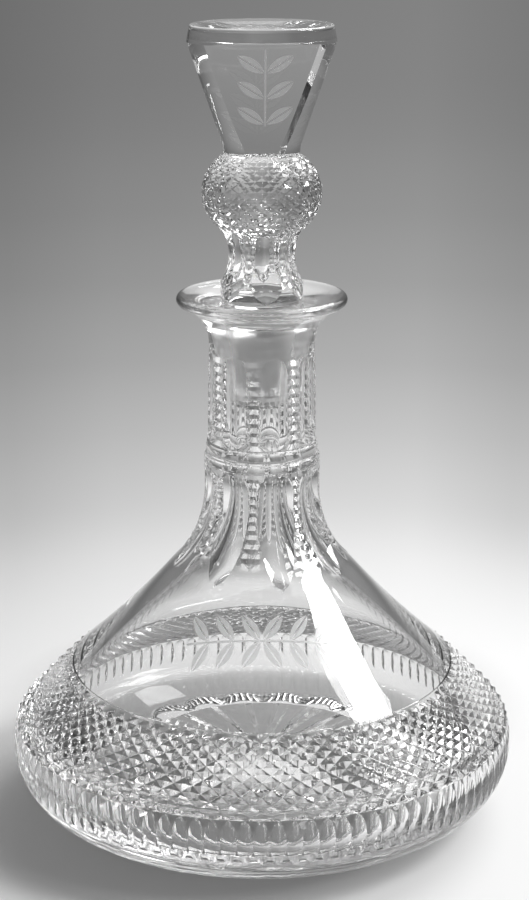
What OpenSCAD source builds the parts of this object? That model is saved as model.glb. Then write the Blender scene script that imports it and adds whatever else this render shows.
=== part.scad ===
// Ship's decanter: a broad cut-glass bowl with a long notched neck, and a ground glass stopper.
// Millimetres, +Z up, origin on the table at the middle of the base.

/* [Bowl] */
// Radius of the bowl at its widest
bowl_r = 90; // [84:1:100]
// Height at which the curve of the underside ends and the upright side begins
side_z = 25.3; // [23:0.1:30]
// Height of the upright side
side_h = 2.7; // [2:0.1:6]
// Radius of the curve under the side
under_r = 20; // [16:0.5:22]
// Radius of the curve between the side and the shoulder
girdle_r = 13; // [10:0.5:16]
// Slope of the shoulder, measured from level
shoulder_angle = 45; // [42:0.5:48]
// Hollow of the shoulder between the ring line and the neck's sweep
shoulder_sag = 1; // [0:0.1:1.5]
// Outer radius of the flat ring that the bowl stands on
foot_r = 64; // [58:0.5:66]
// Width of that ring
foot_w = 4; // [3:0.5:8]
// Hollow of the base inside the ring
foot_lift = 3; // [2:0.1:4]

/* [Cutting on the bowl] */
// Diamonds in one turn
diamond_count = 78; // [60:2:90]
// Half rows of diamonds between the flutes and the ring line
diamond_rows = 12; // [8:1:14]
// Depth of the cuts between the diamonds
diamond_depth = 1.2; // [0.6:0.1:1.6]
// Height by which the diamonds stand over the line of the shoulder
diamond_proud = 0.5; // [0:0.1:0.8]
// Height of the lowest diamonds above the upright side
diamond_rise = 6; // [4:0.1:9]
// Height of the band of diamonds, up to the ring line
diamond_band_h = 20.3; // [15:0.1:23]
// Upright flutes in one turn
flute_count = 104; // [80:2:120]
// Drop of the upright flutes below the upright side
flute_drop = 8; // [5:0.5:10]
// Depth of the upright flutes
flute_depth = 1.5; // [0.8:0.1:2]
// Rays of the star under the base, each with a scallop at its outer end
star_rays = 20; // [16:1:32]
// Depth of the rays at their outer ends
star_depth = 1; // [0.5:0.1:2]
// Width of the ring of scallops round the star
scallop_w = 14; // [10:0.5:18]
// Bow of each scallop's outer edge
scallop_bow = 4.5; // [2:0.5:6]

/* [Neck] */
// Radius of the lower neck, on the pillars
neck_r = 20.3; // [19.5:0.1:22]
// Radius of the sweep from the neck into the shoulder
sweep_r = 40; // [34:1:46]
// Notched pillars round the neck
pillars = 8; // [6:1:9]
// Length of the lower pillars
low_h = 30; // [26:1:33]
// Height of the lower pillars above the sweep
low_rise = 7.8; // [6:0.2:10]
// Height of the double ring between the pillars
ring_h = 9.6; // [8:0.2:12]
// Radius of the upper neck, on the pillars
upper_r = 18.9; // [18.3:0.1:19.5]
// Length of the upper pillars
upper_h = 32.6; // [26:0.2:36]
// Radius of the plain collar over the upper pillars
collar_r = 18.4; // [17.8:0.1:18.8]
// Height of that collar
collar_h = 1.6; // [1:0.2:6]
// Notches on each pillar
notches = 10; // [7:1:12]
// Depth of the notches
notch_depth = 0.9; // [0.5:0.1:1.1]
// Depth of the hollow flutes between the lower pillars
hollow_depth = 2.7; // [1.6:0.1:3]
// Depth of the hollow flutes between the upper pillars
upper_hollow_depth = 1.4; // [1:0.1:2.7]
// Radius of the wheel that hollows those flutes
hollow_r = 14; // [12:0.5:16]

/* [Lip] */
// Radius of the lip
lip_r = 29.5; // [28:0.5:34]
// Radius of the sweep under the lip
flare_r = 14; // [11:0.5:15]
// Angle that the sweep turns through
flare_angle = 66; // [60:1:70]
// Radius of the rounded edge of the lip
edge_r = 1.9; // [1.5:0.1:2.6]
// Fall of the lip's top towards the mouth
dish_drop = 2; // [1:0.1:2.6]

/* [Inside] */
// Wall of the shoulder
shoulder_wall = 6.5; // [5:0.5:8]
// Wall of the bowl at its widest
side_wall = 8.5; // [7:0.5:11]
// Thickness of the base
base_wall = 16; // [10:0.5:18]
// Radius of the bore of the neck
bore_r = 9; // [8:0.1:9.6]
// Radius of the mouth at the bottom of the dish
mouth_r = 14; // [13.6:0.1:14.4]
// Depth of the polished funnel between the mouth and the ground seat
funnel_h = 5; // [3:0.5:8]
// Length of the ground seat
seat_h = 30; // [26:1:36]
// Widening of the ground seat over its length, on the radius
seat_taper = 2.5; // [1.5:0.1:3]

/* [Stopper] */
// Gap all round between the ground peg and its seat
seat_gap = 0.12; // [0.05:0.01:0.25]
// Gap between the stem's foot and the lip
stem_gap = 0.6; // [0.4:0.1:0.9]
// Height by which the peg stops short of the seat's lower end
peg_short = 2.3; // [1:0.1:5]
// Bevel on the end of the peg
peg_bevel = 1.2; // [0.6:0.1:2]
// Radius of the stem's foot
stem_foot_r = 14.2; // [13.8:0.1:15]
// Height of the stem's foot
stem_foot_h = 5.4; // [4:0.1:6.5]
// Radius of the stem at its narrowest
stem_r = 11.3; // [10.8:0.1:12]
// Radius of the stem's inward sweep
stem_sweep_r = 17; // [13.5:0.5:19]
// Notched ridges round the stem
stem_ridges = 6; // [5:1:8]
// Radius of the stem where it meets the bulb
stem_top_r = 13.6; // [13:0.1:14.2]
// Depth of the hollow flutes on the stem
stem_hollow_depth = 2.2; // [1.4:0.1:2.4]
// Radius of the wheel that hollows those flutes
stem_hollow_r = 9; // [8:0.5:10]
// Radius of the run of those flutes up the stem
stem_run_r = 22; // [21:0.5:26]
// Notches on each ridge of the stem
stem_notches = 9; // [6:1:11]
// Depth of those notches
stem_notch_depth = 0.3; // [0.2:0.1:0.6]
// Radius of the diamond-cut bulb
bulb_r = 20.6; // [19.5:0.1:22]
// Radius of the bulb's outline
bulb_curve_r = 15.1; // [14.5:0.1:16]
// Diamonds in one turn of the bulb
bulb_count = 24; // [18:2:36]
// Half rows of diamonds on the bulb
bulb_rows = 16; // [14:2:22]
// Depth of the cuts on the bulb
bulb_depth = 0.4; // [0.3:0.1:0.9]
// Height of the panelled head, from the waist to its rim
head_h = 37.2; // [32:0.1:44]
// Radius of the waist between bulb and head
waist_r = 12.9; // [12:0.1:14]
// Radius of the head's rim
rim_r = 25.1; // [23:0.1:27]
// Height of the rim
rim_h = 5.6; // [4:0.1:8]
// Rounding of the rim's edges
rim_edge = 0.9; // [0.5:0.1:1.5]
// Broad flat panels on the head
panels = 2; // [2:1:3]
// Distance of the panels from the axis at the waist
panel_low = 11; // [10.4:0.1:11.8]
// Distance of the panels from the axis under the rim
panel_high = 15; // [14:0.1:18]
// Rise of the ledge over the panels, out to the edge of the rim
ledge_rise = 1.5; // [0:0.1:2.5]

/* [Hidden] */
$fn = 96;
glass = [0.87, 0.9, 0.91];
ground_glass = [0.8, 0.82, 0.83];
// Room that a cutter needs past the surface that it leaves
over = 1;
// Overlap of solids that are joined into one piece of glass
lap = 0.4;
// Share of its room that each ray of the star fills, and where the rays begin
star_fill = 0.5;
star_tip = 0.05;
// Steps of a scallop's edge
scallop_steps = 6;
// Steps of a flute's run from end to end, its depth across its width, and steps of the shoulder's hollow
flute_steps = 4;
flute_share = [0, 0.75, 1, 0.75];
sag_steps = 8;
// Turns of the neck's flutes, the stem's flutes and the head's panels about the axis
neck_turn = 13.5;
stem_turn = 37.5;
head_turn = 95;

// Shoulder cone, which the side's curve runs into
girdle_z = side_z + side_h;
shoulder_out = [sin(shoulder_angle), cos(shoulder_angle)];
shoulder_start = [bowl_r - girdle_r, girdle_z] + girdle_r * shoulder_out;
function cone_r(z) = shoulder_start[0] - (z - shoulder_start[1]) / tan(shoulder_angle);
function cone_z(r) = shoulder_start[1] + (shoulder_start[0] - r) * tan(shoulder_angle);

// Bands of cutting on the bowl
flute_z = side_z - flute_drop;
diamond_z = girdle_z + diamond_rise;
ring_line_z = diamond_z + diamond_band_h;
ring_line_r = cone_r(ring_line_z) - diamond_depth;

// Neck, upwards from the sweep
sweep_end_r = neck_r + sweep_r * (1 - shoulder_out[0]);
sweep_end_z = cone_z(sweep_end_r);
sweep_z = sweep_end_z + sweep_r * shoulder_out[1];
low_top = sweep_z + low_rise;
low_bottom = low_top - low_h;
notch_half = low_h / notches / 2;
upper_bottom = low_top + ring_h;
upper_top = upper_bottom + upper_h;
flare_z = upper_top + collar_h;
flare_end = [collar_r + flare_r * (1 - cos(flare_angle)), flare_z + flare_r * sin(flare_angle)];
edge_start_r = lip_r - edge_r + edge_r * cos(flare_angle);
edge_start_z = flare_end[1] + (edge_start_r - flare_end[0]) / tan(flare_angle);
edge_c = [lip_r - edge_r, edge_start_z + edge_r * sin(flare_angle)];
lip_top = edge_c[1] + edge_r;
mouth_z = lip_top - dish_drop;
seat_top = mouth_z - funnel_h;
seat_bottom = seat_top - seat_h;
seat_r = bore_r + seat_taper;

// Stopper, upwards from its place on the lip
stem_z = mouth_z + stem_gap;
peg_bottom = seat_bottom + peg_short;
stem_sweep_z = stem_z + stem_foot_h + rise(stem_foot_r - stem_r, stem_sweep_r);
bulb_c_r = bulb_r - bulb_curve_r;
bulb_half = acos((waist_r - bulb_c_r) / bulb_curve_r);
bulb_low = acos((stem_top_r - bulb_c_r) / bulb_curve_r);
bulb_z = stem_sweep_z + rise(stem_top_r - stem_r, stem_sweep_r) + bulb_curve_r * sin(bulb_low);
waist_z = bulb_z + bulb_curve_r * sin(bulb_half);
rim_z = waist_z + head_h;
stopper_top = rim_z + rim_h;

// Distance along an arc's axis at which it has left its tangent by a given amount
function rise(away, r) = sqrt(r * r - (r - away) * (r - away));

// Points on an arc, both ends included
function arc(c, r, a0, a1, steps = 8) =
    [for (i = [0:steps]) let (a = a0 + (a1 - a0) * i / steps) c + r * [cos(a), sin(a)]];

// Where a line from a point touches a circle, as an angle about the circle's centre
function touch_angle(p, c, r) =
    let (v = p - c)
    atan2(v[1], v[0]) + acos(r / norm(v));

// Outline of the neck with the sweep, without its notches
function neck_out(z) =
    z >= sweep_z ? neck_r
    : z < sweep_end_z ? cone_r(z)
    : neck_r + sweep_r - sqrt(sweep_r * sweep_r - (sweep_z - z) * (sweep_z - z));
function upper_out(z) = upper_r + (collar_r - upper_r) * (z - upper_bottom) / upper_h;
function stem_out(z) =
    stem_r + stem_sweep_r - sqrt(stem_sweep_r * stem_sweep_r - (z - stem_sweep_z) * (z - stem_sweep_z));

// Zigzag of notches up an outline
function notched(z0, z1, count, depth, out) =
    let (pitch = (z1 - z0) / count)
    [for (i = [0:count - 1], half = [0, 1])
        let (z = z0 + (i + half / 2) * pitch)
        [out(z) - half * depth, z]];

// Skin of the bowl over the cut band, as its lean from upright and its radius
function skin_lean(z) =
    z < side_z ? asin((z - side_z) / under_r)
    : z < girdle_z ? 0
    : z < shoulder_start[1] ? asin((z - girdle_z) / girdle_r)
    : 90 - shoulder_angle;
function skin_r(z) =
    z < side_z ? bowl_r - under_r * (1 - cos(skin_lean(z)))
    : z < shoulder_start[1] ? bowl_r - girdle_r * (1 - cos(skin_lean(z)))
    : cone_r(z);

// Point at a depth under a skin that leans, at one turn about the axis
function sunk(r, z, lean, depth, turn) =
    let (in = r - depth * cos(lean))
    [in * cos(turn), in * sin(turn), z - depth * sin(lean)];
function flat_ring(r, z, count) = [for (k = [0:count - 1]) sunk(r, z, 0, 0, 360 * k / count)];

// Ring of a diamond lattice: cut crossings and uncut points by turns
function diamond_ring(r, z, lean, depth, count, row, proud = 0) =
    [for (k = [0:2 * count - 1])
        sunk(r, z, lean, ((k + row) % 2 == 0 ? depth : 0) - proud, 180 * k / count)];

// Faces between two rings of a diamond lattice, split along the cuts
function diamond_faces(low, high, count, row) =
    [for (k = [0:count - 1])
        let (a = low + k, b = low + (k + 1) % count, c = high + k, d = high + (k + 1) % count)
        each (k + row) % 2 == 0 ? [[a, c, d], [a, d, b]] : [[a, c, b], [b, c, d]]];

// Faces between two rings of any counts, which start at the same turn
function zip_faces(low, low_count, high, high_count) = concat(
    [for (i = [0:low_count - 1])
        let (j = ceil(((2 * i + 1) * high_count / low_count - 1) / 2))
        [low + i, high + j % high_count, low + (i + 1) % low_count]],
    [for (j = [0:high_count - 1])
        let (i = floor(((2 * j + 1) * low_count / high_count + 1) / 2))
        [low + i % low_count, high + j, high + (j + 1) % high_count]]);

// Closed solid through a stack of rings from the bottom up: [points, row of diamonds if it is one]
module stacked(rings) {
    counts = [for (ring = rings) len(ring[0])];
    starts = [for (i = 0, at = 0; i < len(rings); at = at + counts[i], i = i + 1) at];
    last = len(rings) - 1;
    low_mid = starts[last] + counts[last];
    faces = concat(
        [for (k = [0:counts[0] - 1]) [low_mid, k, (k + 1) % counts[0]]],
        [for (i = [0:last - 1])
            each is_num(rings[i][1]) && is_num(rings[i + 1][1])
                ? diamond_faces(starts[i], starts[i + 1], counts[i], rings[i][1])
                : zip_faces(starts[i], counts[i], starts[i + 1], counts[i + 1])],
        [for (k = [0:counts[last] - 1])
            [low_mid + 1, starts[last] + (k + 1) % counts[last], starts[last] + k]]);
    mids = [[0, 0, rings[0][0][0][2]], [0, 0, rings[last][0][0][2]]];
    polyhedron(concat([for (ring = rings) each ring[0]], mids), faces);
}

// Belt of upright flutes with the diamonds over it, in rows that grow with their radius
apex_z = cone_z(0);
diamond_share = (apex_z - ring_line_z) / (apex_z - diamond_z);
function diamond_row_z(row) = apex_z - (apex_z - diamond_z) * pow(diamond_share, row / diamond_rows);
flute_points = len(flute_share) * flute_count;
function flute_ring(step) =
    let (u = step / flute_steps, z = flute_z + lap + u * (diamond_z - flute_z - 3 * lap))
    [for (k = [0:flute_points - 1])
        let (depth = lap / 4 + flute_share[k % len(flute_share)] * flute_depth * 4 * u * (1 - u))
        sunk(skin_r(z), z, skin_lean(z), depth, 360 * k / flute_points)];
module cut_band() {
    stacked(concat(
        [[flat_ring(skin_r(flute_z) - 2 * lap, flute_z - lap, flute_points)]],
        [for (step = [0:flute_steps]) [flute_ring(step)]],
        [for (row = [0:diamond_rows - 1])
            let (z = diamond_row_z(row), lean = skin_lean(z))
            [diamond_ring(skin_r(z), z, lean, diamond_depth, diamond_count, row, diamond_proud), row]],
        [[flat_ring(ring_line_r, ring_line_z - lap, 2 * diamond_count)],
            [flat_ring(ring_line_r - 3 * lap, ring_line_z + lap, 2 * diamond_count)]]));
}

// Underside of the bowl, up to the flutes
module underside() {
    under_c = [bowl_r - under_r, side_z];
    under_a = touch_angle([foot_r, 0], under_c, under_r);
    rotate_extrude()
        polygon(concat(
            [[0, 0], [foot_r, 0]],
            arc(under_c, under_r, under_a, skin_lean(flute_z)),
            [[0, flute_z]]));
}

// Star of V rays in the hollow of the base, and the ring of scallops that slopes from it to the foot ring
scallop_points = scallop_steps * star_rays;
function scallop_ring(z) =
    [for (k = [0:scallop_points - 1])
        let (side = 2 * (k % scallop_steps) / scallop_steps - 1)
        sunk(foot_r - foot_w, z, 0, scallop_bow * side * side, 360 * k / scallop_points)];
module star() {
    star_r = foot_r - foot_w - scallop_w;
    stacked([[scallop_ring(-over)], [scallop_ring(0)], [flat_ring(star_r, foot_lift, scallop_points)]]);
    for (i = [0:star_rays - 1])
        rotate([0, 0, 360 * (i + 0.5) / star_rays])
            star_ray(star_r);
}
module star_ray(length) {
    half_w = star_fill * length * sin(180 / star_rays) * (star_depth + over) / star_depth;
    tip = star_tip * length;
    low = foot_lift - over;
    polyhedron(
        [[tip, 0, foot_lift], [length, 0, foot_lift + star_depth], [length, half_w, low],
            [length, -half_w, low], [tip, 0, low]],
        [[0, 2, 1], [0, 1, 3], [1, 2, 3], [0, 4, 2], [0, 3, 4], [4, 3, 2]]);
}

// Shoulder, neck and lip, with the notches turned all round
module upper_glass() {
    ring_mid = low_top + ring_h / 2;
    ring_top_r = (neck_r + upper_r) / 2;
    shoulder_lip_z = ring_line_z + 2 * lap;
    shoulder_lip = [cone_r(shoulder_lip_z), shoulder_lip_z];
    shoulder_run = [sweep_end_r, sweep_end_z] - shoulder_lip;
    shoulder_points = [for (i = [0:sag_steps - 1])
        let (u = i / sag_steps)
        shoulder_lip + u * shoulder_run - shoulder_sag * 4 * u * (1 - u) * shoulder_out];
    sweep_points = low_bottom < sweep_end_z ? []
        : arc([neck_r + sweep_r, sweep_z], sweep_r, 270 - shoulder_angle,
            180 + asin((sweep_z - low_bottom) / sweep_r), 4);
    rotate_extrude()
        polygon(concat(
            [[0, ring_line_z], [ring_line_r - lap, ring_line_z]],
            shoulder_points,
            sweep_points,
            notched(low_bottom, low_top, notches, notch_depth, function (z) neck_out(z)),
            [[neck_r, low_top], [neck_r, ring_mid - lap], [ring_top_r - notch_depth, ring_mid]],
            [[ring_top_r, ring_mid + lap], [ring_top_r, upper_bottom - 2 * lap]],
            [[upper_r - notch_depth, upper_bottom - lap]],
            notched(upper_bottom, upper_top, notches, notch_depth, function (z) upper_out(z)),
            [[collar_r, upper_top]],
            arc([collar_r + flare_r, flare_z], flare_r, 180, 180 - flare_angle),
            arc(edge_c, edge_r, -flare_angle, 90),
            [[mouth_r, mouth_z], [0, mouth_z]]));
}

// Hollow flutes between the pillars of the neck, the lower ones running out where the sweep ends
module neck_hollows() {
    arch = rise(hollow_depth, hollow_r);
    upper_arch = rise(upper_hollow_depth, hollow_r);
    low_arch = low_top + notch_half - arch;
    run_z = min(sweep_z, low_arch);
    drop = run_z - sweep_end_z;
    away = sweep_end_r - neck_r + hollow_depth;
    run_r = (drop * drop + away * away) / (2 * away);
    low_c = neck_r - hollow_depth + hollow_r;
    upper_c = (upper_r + collar_r) / 2 - upper_hollow_depth + hollow_r;
    for (i = [0:pillars - 1])
        rotate([0, 0, neck_turn + 360 * i / pillars]) {
            translate([neck_r - hollow_depth + run_r, 0, run_z])
                rotate([90, 0, 0])
                    rotate([0, 0, 180])
                        rotate_extrude(angle = 90)
                            translate([run_r - hollow_r, 0])
                                circle(r = hollow_r);
            capsule([low_c, 0, run_z], low_arch - run_z, hollow_r);
            capsule([upper_c, 0, upper_bottom + upper_arch], upper_h - 2 * upper_arch, hollow_r);
        }
}
module capsule(foot, length, r) {
    translate(foot) {
        sphere(r = r);
        if (length > 0) {
            cylinder(r = r, h = length);
            translate([0, 0, length])
                sphere(r = r);
        }
    }
}

// Inside of the decanter: bowl, bore, ground seat and funnel
in_low_r = side_z - base_wall;
in_girdle_r = 9;
in_side_r = bowl_r - side_wall;
in_start = shoulder_start - shoulder_wall * shoulder_out;
function in_cone_z(r) = in_start[1] + (in_start[0] - r) * tan(shoulder_angle);
module inside() {
    in_end = in_side_r - in_girdle_r * (1 - shoulder_out[0]);
    in_girdle_z = max(in_cone_z(in_end) - in_girdle_r * shoulder_out[1], side_z + lap);
    in_girdle_c = [in_side_r - in_girdle_r, in_girdle_z];
    in_sweep_z = in_cone_z(bore_r + sweep_r * (1 - shoulder_out[0])) + sweep_r * shoulder_out[1];
    rotate_extrude()
        polygon(concat(
            [[0, base_wall]],
            arc([in_side_r - in_low_r, side_z], in_low_r, -90, 0),
            arc(in_girdle_c, in_girdle_r, 0, 90 - shoulder_angle),
            arc([bore_r + sweep_r, in_sweep_z], sweep_r, 270 - shoulder_angle, 180),
            [[bore_r, seat_bottom], [seat_r, seat_top], [mouth_r, mouth_z]],
            [[mouth_r, mouth_z + over], [0, mouth_z + over]]));
}

module decanter() {
    color(glass)
        difference() {
            union() {
                difference() {
                    upper_glass();
                    neck_hollows();
                }
                cut_band();
                difference() {
                    underside();
                    star();
                }
            }
            inside();
        }
}

// Ground peg, stem and its foot
module stem() {
    bulb_foot_z = bulb_z - bulb_curve_r * sin(bulb_low);
    foot_top = stem_z + stem_foot_h;
    peg_r = bore_r - seat_gap + seat_taper * peg_short / seat_h;
    rotate_extrude()
        polygon(concat(
            [[0, peg_bottom], [peg_r - peg_bevel, peg_bottom], [peg_r, peg_bottom + peg_bevel]],
            [[seat_r - seat_gap, seat_top], [mouth_r - stem_gap, mouth_z], [mouth_r - stem_gap, stem_z]],
            [[stem_foot_r, stem_z]],
            notched(foot_top, bulb_foot_z, stem_notches, stem_notch_depth, function (z) stem_out(z)),
            [[stem_top_r, bulb_foot_z], [0, bulb_foot_z]]));
}
module stem_hollows() {
    for (i = [0:stem_ridges - 1])
        rotate([0, 0, stem_turn + 360 * i / stem_ridges])
            translate([stem_r - stem_hollow_depth + stem_run_r, 0, stem_sweep_z])
                rotate([90, 0, 0])
                    rotate_extrude()
                        translate([stem_run_r - stem_hollow_r, 0])
                            circle(r = stem_hollow_r);
}

// Diamond-cut bulb
module bulb() {
    low = -bulb_low;
    step = (bulb_low + bulb_half) / bulb_rows;
    function row_r(a) = bulb_c_r + bulb_curve_r * cos(a);
    function row_z(a) = bulb_z + bulb_curve_r * sin(a);
    stacked(concat(
        [[flat_ring(row_r(low) - 3 * lap, row_z(low) - lap, 2 * bulb_count)]],
        [for (row = [1:bulb_rows - 1])
            let (a = low + row * step)
            [diamond_ring(row_r(a), row_z(a), a, bulb_depth, bulb_count, row), row]],
        [[flat_ring(row_r(bulb_half) - 3 * lap, waist_z + lap, 2 * bulb_count)]]));
}

// Panelled head with its rim
module head() {
    rim_top_r = rim_r - rim_edge;
    rotate_extrude()
        polygon(concat(
            [[0, waist_z], [waist_r, waist_z], [rim_r, rim_z]],
            arc([rim_top_r - rim_edge, stopper_top - rim_edge], rim_edge, 0, 90, 4),
            [[0, stopper_top]]));
}
module head_panels() {
    out_r = rim_r + over;
    for (i = [0:panels - 1])
        rotate([0, 0, head_turn + 360 * i / panels])
            rotate([90, 0, 0])
                linear_extrude(height = 2 * rim_r, center = true)
                    polygon([[panel_low, waist_z - over], [panel_low, waist_z], [panel_high, rim_z],
                        [out_r, rim_z + ledge_rise], [out_r, waist_z - over]]);
}

module stopper() {
    color(ground_glass)
        union() {
            difference() {
                stem();
                stem_hollows();
            }
            bulb();
            difference() {
                head();
                head_panels();
            }
        }
}

decanter();
stopper();
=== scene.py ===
import bpy
import bmesh
from math import acos, asin, atan2, cos, degrees, hypot, pi, radians, sin, sqrt, tan
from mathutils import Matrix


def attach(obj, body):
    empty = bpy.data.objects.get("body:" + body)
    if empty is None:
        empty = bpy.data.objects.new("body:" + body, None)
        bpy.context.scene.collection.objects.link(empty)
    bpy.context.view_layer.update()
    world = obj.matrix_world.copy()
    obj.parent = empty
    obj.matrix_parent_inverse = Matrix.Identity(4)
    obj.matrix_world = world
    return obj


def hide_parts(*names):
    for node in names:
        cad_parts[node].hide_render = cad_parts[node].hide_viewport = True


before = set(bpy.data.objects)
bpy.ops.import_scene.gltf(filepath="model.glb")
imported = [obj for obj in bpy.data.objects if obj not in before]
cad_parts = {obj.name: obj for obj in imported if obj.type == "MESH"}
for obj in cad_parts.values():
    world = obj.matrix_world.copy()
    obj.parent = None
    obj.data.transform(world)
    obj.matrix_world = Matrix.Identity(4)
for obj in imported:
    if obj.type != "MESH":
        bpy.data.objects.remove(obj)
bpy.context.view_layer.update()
scene = bpy.context.scene
mm = 0.001
print("frame loaded:", sorted(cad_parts))


# small helpers for node trees

def addNode(tree, kind, inputs=None, **props):
    node = tree.nodes.new(kind)
    for name, value in props.items():
        setattr(node, name, value)
    for socket, value in (inputs or {}).items():
        feed(tree, node.inputs[socket], value)
    return node


def feed(tree, socket, value):
    if isinstance(value, bpy.types.NodeSocket):
        tree.links.new(value, socket)
    else:
        socket.default_value = value


def calc(tree, operation, *values):
    node = addNode(tree, "ShaderNodeMath", operation=operation)
    for i, value in enumerate(values):
        feed(tree, node.inputs[i], value)
    return node.outputs[0]


def wholeCalc(tree, operation, first, second):
    node = addNode(tree, "FunctionNodeIntegerMath", {0: first, 1: second}, operation=operation)
    return node.outputs[0]


def product(tree, *values):
    total = values[0]
    for value in values[1:]:
        total = calc(tree, "MULTIPLY", total, value)
    return total


def ranged(tree, value, low, high, kind="LINEAR", start=0.0, end=1.0):
    spread = {"Value": value, "From Min": low, "From Max": high, "To Min": start, "To Max": end}
    return addNode(tree, "ShaderNodeMapRange", spread, interpolation_type=kind).outputs[0]


def between(tree, value, low, high, soft):
    up = ranged(tree, value, low - soft, low + soft)
    down = ranged(tree, value, high + soft, high - soft)
    return product(tree, up, down)


def noise(tree, place, scale, detail=2.0):
    return addNode(tree, "ShaderNodeTexNoise", {"Vector": place, "Scale": scale, "Detail": detail}).outputs[0]


# geometry trees: a profile line, one point a row, is turned about Z into a wall of glass with cuts

rowSizes = ["deep", "wide", "step", "swell", "lean", "hollow", "half", "notch"]
rowLengths = ("deep", "wide", "swell", "hollow", "notch")


def startTree(name, sizes):
    tree = bpy.data.node_groups.new(name, "GeometryNodeTree")
    tree.interface.new_socket("Profile", in_out="INPUT", socket_type="NodeSocketGeometry")
    for label, kind in sizes:
        tree.interface.new_socket(label, in_out="INPUT", socket_type=kind)
    tree.interface.new_socket("Glass", in_out="INPUT", socket_type="NodeSocketMaterial")
    tree.interface.new_socket("Wall", in_out="OUTPUT", socket_type="NodeSocketGeometry")
    given = addNode(tree, "NodeGroupInput").outputs
    return tree, given


def gridOf(tree, given, columns):
    rows = addNode(tree, "GeometryNodeAttributeDomainSize", {"Geometry": given["Profile"]},
                   component="MESH").outputs["Point Count"]
    grid = addNode(tree, "GeometryNodeMeshGrid",
                   {"Vertices X": wholeCalc(tree, "ADD", columns, 1), "Vertices Y": rows}).outputs["Mesh"]
    index = addNode(tree, "GeometryNodeInputIndex").outputs[0]
    row = wholeCalc(tree, "MODULO", index, rows)
    column = wholeCalc(tree, "DIVIDE_FLOOR", index, rows)

    def read(name):
        source = addNode(tree, "GeometryNodeInputNamedAttribute", {"Name": name}, data_type="FLOAT")
        return addNode(tree, "GeometryNodeSampleIndex",
                       {"Geometry": given["Profile"], "Value": source.outputs[0], "Index": row},
                       data_type="FLOAT", domain="POINT").outputs[0]

    place = addNode(tree, "GeometryNodeInputPosition").outputs[0]
    spot = addNode(tree, "GeometryNodeSampleIndex",
                   {"Geometry": given["Profile"], "Value": place, "Index": row},
                   data_type="FLOAT_VECTOR", domain="POINT").outputs[0]
    spot = addNode(tree, "ShaderNodeSeparateXYZ", {0: spot}).outputs
    return grid, column, read, spot["X"], spot["Z"]


def closeTree(tree, given, grid, radius, height, depth, lean, angle):
    radius = calc(tree, "SUBTRACT", radius, product(tree, depth, calc(tree, "COSINE", lean)))
    height = calc(tree, "SUBTRACT", height, product(tree, depth, calc(tree, "SINE", lean)))
    place = addNode(tree, "ShaderNodeCombineXYZ", {
        "X": product(tree, radius, calc(tree, "COSINE", angle)),
        "Y": product(tree, radius, calc(tree, "SINE", angle)),
        "Z": height}).outputs[0]
    moved = addNode(tree, "GeometryNodeSetPosition", {"Geometry": grid, "Position": place}).outputs[0]
    split = addNode(tree, "GeometryNodeTriangulate", {0: moved}, quad_method="SHORTEST_DIAGONAL").outputs[0]
    real = addNode(tree, "GeometryNodeRealizeInstances", {0: split}).outputs[0]
    glazed = addNode(tree, "GeometryNodeSetMaterial", {"Geometry": real, "Material": given["Glass"]})
    addNode(tree, "NodeGroupOutput", {0: glazed.outputs[0]})
    return tree


def buildCutRows():  # V cuts at even steps round the axis; rows shifted by half a step make diamonds
    tree, given = startTree("cutRows", [("Columns", "NodeSocketInt"), ("Repeat", "NodeSocketInt")])
    grid, column, read, radius, height = gridOf(tree, given, given["Columns"])
    shifted = calc(tree, "ADD", column, read("step"))
    share = calc(tree, "FRACT", calc(tree, "DIVIDE", shifted, given["Repeat"]))
    fromValley = calc(tree, "ABSOLUTE", calc(tree, "SUBTRACT", product(tree, share, 2.0), 1.0))
    depth = calc(tree, "SUBTRACT", read("deep"), product(tree, read("wide"), fromValley))
    depth = calc(tree, "MAXIMUM", depth, 0.0)
    swell = product(tree, read("swell"), product(tree, fromValley, fromValley))
    radius = calc(tree, "SUBTRACT", radius, swell)
    angle = product(tree, calc(tree, "DIVIDE", column, given["Columns"]), 2 * pi)
    return closeTree(tree, given, grid, radius, height, depth, read("lean"), angle)


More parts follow.
